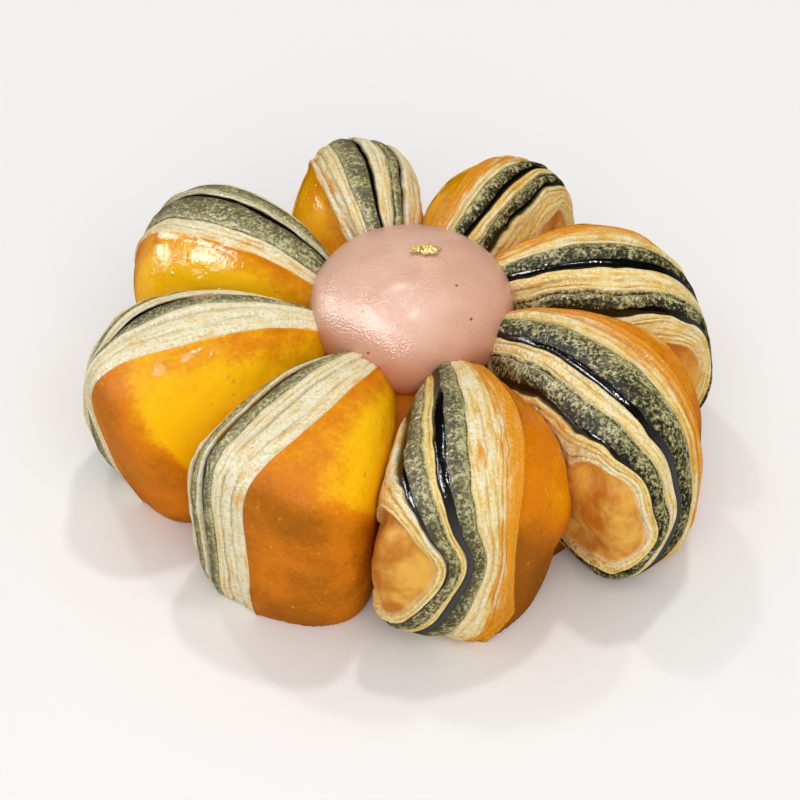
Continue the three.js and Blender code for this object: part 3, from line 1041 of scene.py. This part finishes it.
def layers_paint():
    paint = Recipe("cut_layers")
    place = paint.object_place()
    grey, black = paint.stored("grey"), paint.stored("black")
    dry, inner = paint.stored("dry"), paint.stored("inner")
    sheet_place = paint.node("ShaderNodeCombineXYZ", {}, {
        "X": paint.stored("along") * STREAK_ALONG, "Y": paint.stored("across") * STREAK_ACROSS})
    streaks = paint.speckle(sheet_place, 1.0, 3.0)
    clouds = paint.speckle(place, 350.0, 2.0)
    lumps = paint.speckle(place, 1400.0, 2.0)
    grit = paint.speckle(place, 3000.0, 1.0)

    pale = pale_colour(paint, streaks, clouds, lumps, grit)
    olive = grainy_colour(paint, grey, clouds, lumps, grit)
    edge = grey + (lumps - 0.5) * 0.8 + (clouds - 0.5) * 0.5
    layers = paint.mix(edge.between(0.2, 0.5), pale, olive)
    layers = paint.mix(black, layers, paint.mix(dry, BLACK_WET, BLACK_DRY))
    flap = paint.mix(paint.speckle(place, 120.0, 3.0).between(0.4, 0.64), FLAP_PALE, FLAP_BROWN)
    colour = paint.mix(inner, layers, flap)

    pores = lumps * 0.8 + grit * 0.3 + clouds * 0.5
    relief = paint.bump(pores * (1 - black * 0.85) * (1 - inner * 0.6), LAYER_BUMP)
    flaky = paint.surface(Base_Color=colour, Normal=relief, **FLAKY)
    wet = paint.surface(Base_Color=colour, Normal=relief, **WET)
    damp = lumps * 0.5 + clouds * 0.5 + grey * 0.04 - dry * 0.08 - inner
    shine = damp.between(0.48, 0.58) * 0.8 + black * (1 - dry * 0.6)
    return paint.finish(paint.blend(shine, flaky, wet))


layers_material = layers_paint()
print("nodes in the layers' paint:", len(layers_material.node_tree.nodes))

# %% [markdown]
# ## Which face gets which paint
# On each petal the first rows of faces are skin and all others are layers. The last two fans
# of triangles close the poles; the first of them lies on the skin side.

# %% Paint the dough
for piece in petals:
    mesh = piece.data
    mesh.materials.append(skin_material)
    mesh.materials.append(layers_material)
    columns = grid_stations().size
    part = np.ones(len(mesh.polygons), np.int32)
    part[:(SKIN_ROWS - 1) * columns] = 0
    part[-2 * columns:-columns] = 0
    mesh.polygons.foreach_set("material_index", part)
core.data.materials.append(skin_material)
print("skin faces on the last petal:", int((part == 0).sum()))

# %% [markdown]
# ## Cream paint
# Set cream is smooth, lets light in a little and is softly glossy, with a few dark specks.
# Low on its side it is painted deeper and more orange, a painted reflection of the dough's
# colour, which is thrown back at it there.

# %% Cream paint
CREAM_PINK = srgb(232, 188, 166)
CREAM_DEEP = srgb(224, 172, 148)
CREAM_PAINTED_BOUNCE = srgb(196, 124, 84)
SPECK = srgb(120, 78, 60)
SPECK_SIZE = (0.05, 0.1)
CREAM_BUMP = 0.2
SET_CREAM = dict(Roughness=0.1, Coat_Weight=0.15, Coat_Roughness=0.2,
                 Subsurface_Weight=0.2, Subsurface_Scale=0.004)


def cream_paint():
    paint = Recipe("cream")
    place = paint.object_place()
    blotch = paint.speckle(place, 60.0, 2.0)
    fine = paint.speckle(place, 2600.0, 1.0)
    colour = paint.mix(blotch.between(0.35, 0.65), CREAM_PINK, CREAM_DEEP)
    # painted reflection of the dough's colour, deepest low on the dome
    colour = paint.mix(paint.stored("low"), colour, CREAM_PAINTED_BOUNCE)
    few = paint.speckle(place, 140.0, 0.0).between(0.5, 0.56)
    specks = (1 - paint.cells(place, 260.0).between(*SPECK_SIZE)) * few
    colour = paint.mix(specks, colour, SPECK)
    pores = paint.speckle(place, 1300.0, 2.0)
    relief = paint.bump(fine * 0.7 + pores * 0.5, CREAM_BUMP)
    return paint.finish(paint.surface(Base_Color=colour, Normal=relief, **SET_CREAM))


dome.data.materials.append(cream_paint())
print("cream paint on:", dome.name)

# %% [markdown]
# ## Gold paint
# Real gold leaf is pure metal, and all its colour is in what it mirrors. A studio has little
# to mirror, so this one is half paint: its bright colour is a painted reflection, and the
# crumples break up its shine.

# %% Gold paint
GOLD_PAINTED_SHINE = srgb(252, 236, 170)
GOLD_DEEP = srgb(214, 180, 90)
LEAF_BUMP = 0.1
LEAF_BUMP_STRENGTH = 0.4


def gold_paint():
    paint = Recipe("gold")
    blotch = paint.speckle(paint.object_place(), 900.0, 2.0)
    # painted reflection: the leaf's colour stands in for the shine it would mirror
    colour = paint.mix(blotch.between(0.35, 0.65), GOLD_PAINTED_SHINE, GOLD_DEEP)
    relief = paint.bump(blotch, LEAF_BUMP, LEAF_BUMP_STRENGTH)
    return paint.finish(paint.surface(
        Base_Color=colour, Normal=relief, Metallic=0.4, Roughness=0.3))


leaf.data.materials.append(gold_paint())
print("gold paint on:", leaf.name)

# %% [markdown]
# ## Table
# A wide pale sheet, dull, and left out of reflections so that it doesn't grey the food.

# %% Table
TABLE_SIZE = 4000
TABLE_GAP = 0.02
TABLE_COLOUR = srgb(242, 241, 240)
floor_mesh = bpy.data.meshes.new("floor")
half_table = TABLE_SIZE / 2 * MM
floor_drop = -TABLE_GAP * MM
floor_corners = [(-1, -1), (1, -1), (1, 1), (-1, 1)]
floor_mesh.from_pydata(
    [(x * half_table, y * half_table, floor_drop) for x, y in floor_corners], [], [(0, 1, 2, 3)])
floor = bpy.data.objects.new("floor", floor_mesh)
bpy.context.scene.collection.objects.link(floor)
table_paint = Recipe("table")
floor_mesh.materials.append(table_paint.finish(table_paint.surface(
    Base_Color=TABLE_COLOUR, Roughness=0.6, Specular_IOR_Level=0.3)))
floor.visible_glossy = False
print("table in mm:", TABLE_SIZE)

# %% [markdown]
# ## Light
# The photo has two faint shadows that fall towards the viewer. Two small lamps, above and
# behind, throw them, and a big fill and the sky soften them. Shine is lit apart, so that it
# falls where the photo has it: two window panels on the left give the broad highlights and
# two tiny lamps the sparkles. These four show in reflections only, and the others never do.

# %% Lights
LIGHTS = {
    "lamp_above": dict(towards=(0.12, 0.31, 0.94), distance=1200, size=(90, 90), power=2.6),
    "lamp_behind": dict(towards=(-0.31, 0.48, 0.82), distance=1200, size=(90, 90), power=1.5),
    "window": dict(towards=(-0.57, -0.12, 0.81), distance=1100, size=(540, 440), power=17.0),
    "side_window": dict(towards=(-0.9, 0.28, 0.3), distance=1200, size=(480, 360), power=9.0),
    "gleam_back": dict(towards=(-0.13, 0.46, 0.88), distance=1200, size=(30, 30), power=3.0),
    "gleam_top": dict(towards=(0.04, 0.04, 1.0), distance=1200, size=(30, 30), power=4.0),
    "fill": dict(towards=(0.1, -0.75, 0.65), distance=1200, size=(1400, 1400), power=9.0),
}
for name, light in LIGHTS.items():
    data = bpy.data.lights.new(name, "AREA")
    data.shape = "RECTANGLE"
    data.size, data.size_y = (length * MM for length in light["size"])
    data.energy = light["power"]
    lamp = bpy.data.objects.new(name, data)
    towards = Vector(light["towards"]).normalized()
    lamp.location = towards * light["distance"] * MM
    lamp.rotation_mode = "QUATERNION"
    lamp.rotation_quaternion = towards.to_track_quat("Z", "Y")
    lamp.visible_glossy = "window" in name or "gleam" in name
    lamp.visible_diffuse = not lamp.visible_glossy
    bpy.context.scene.collection.objects.link(lamp)

SKY_STRENGTH = 0.5
SKY_COLOUR = (1, 0.995, 0.985, 1)
world = bpy.data.worlds.new("studio")
world.use_nodes = True
background = world.node_tree.nodes["Background"]
background.inputs["Color"].default_value = SKY_COLOUR
background.inputs["Strength"].default_value = SKY_STRENGTH
world.cycles_visibility.glossy = False
bpy.context.scene.world = world
bpy.context.scene.view_settings.view_transform = "Standard"
print("lights:", ", ".join(LIGHTS))
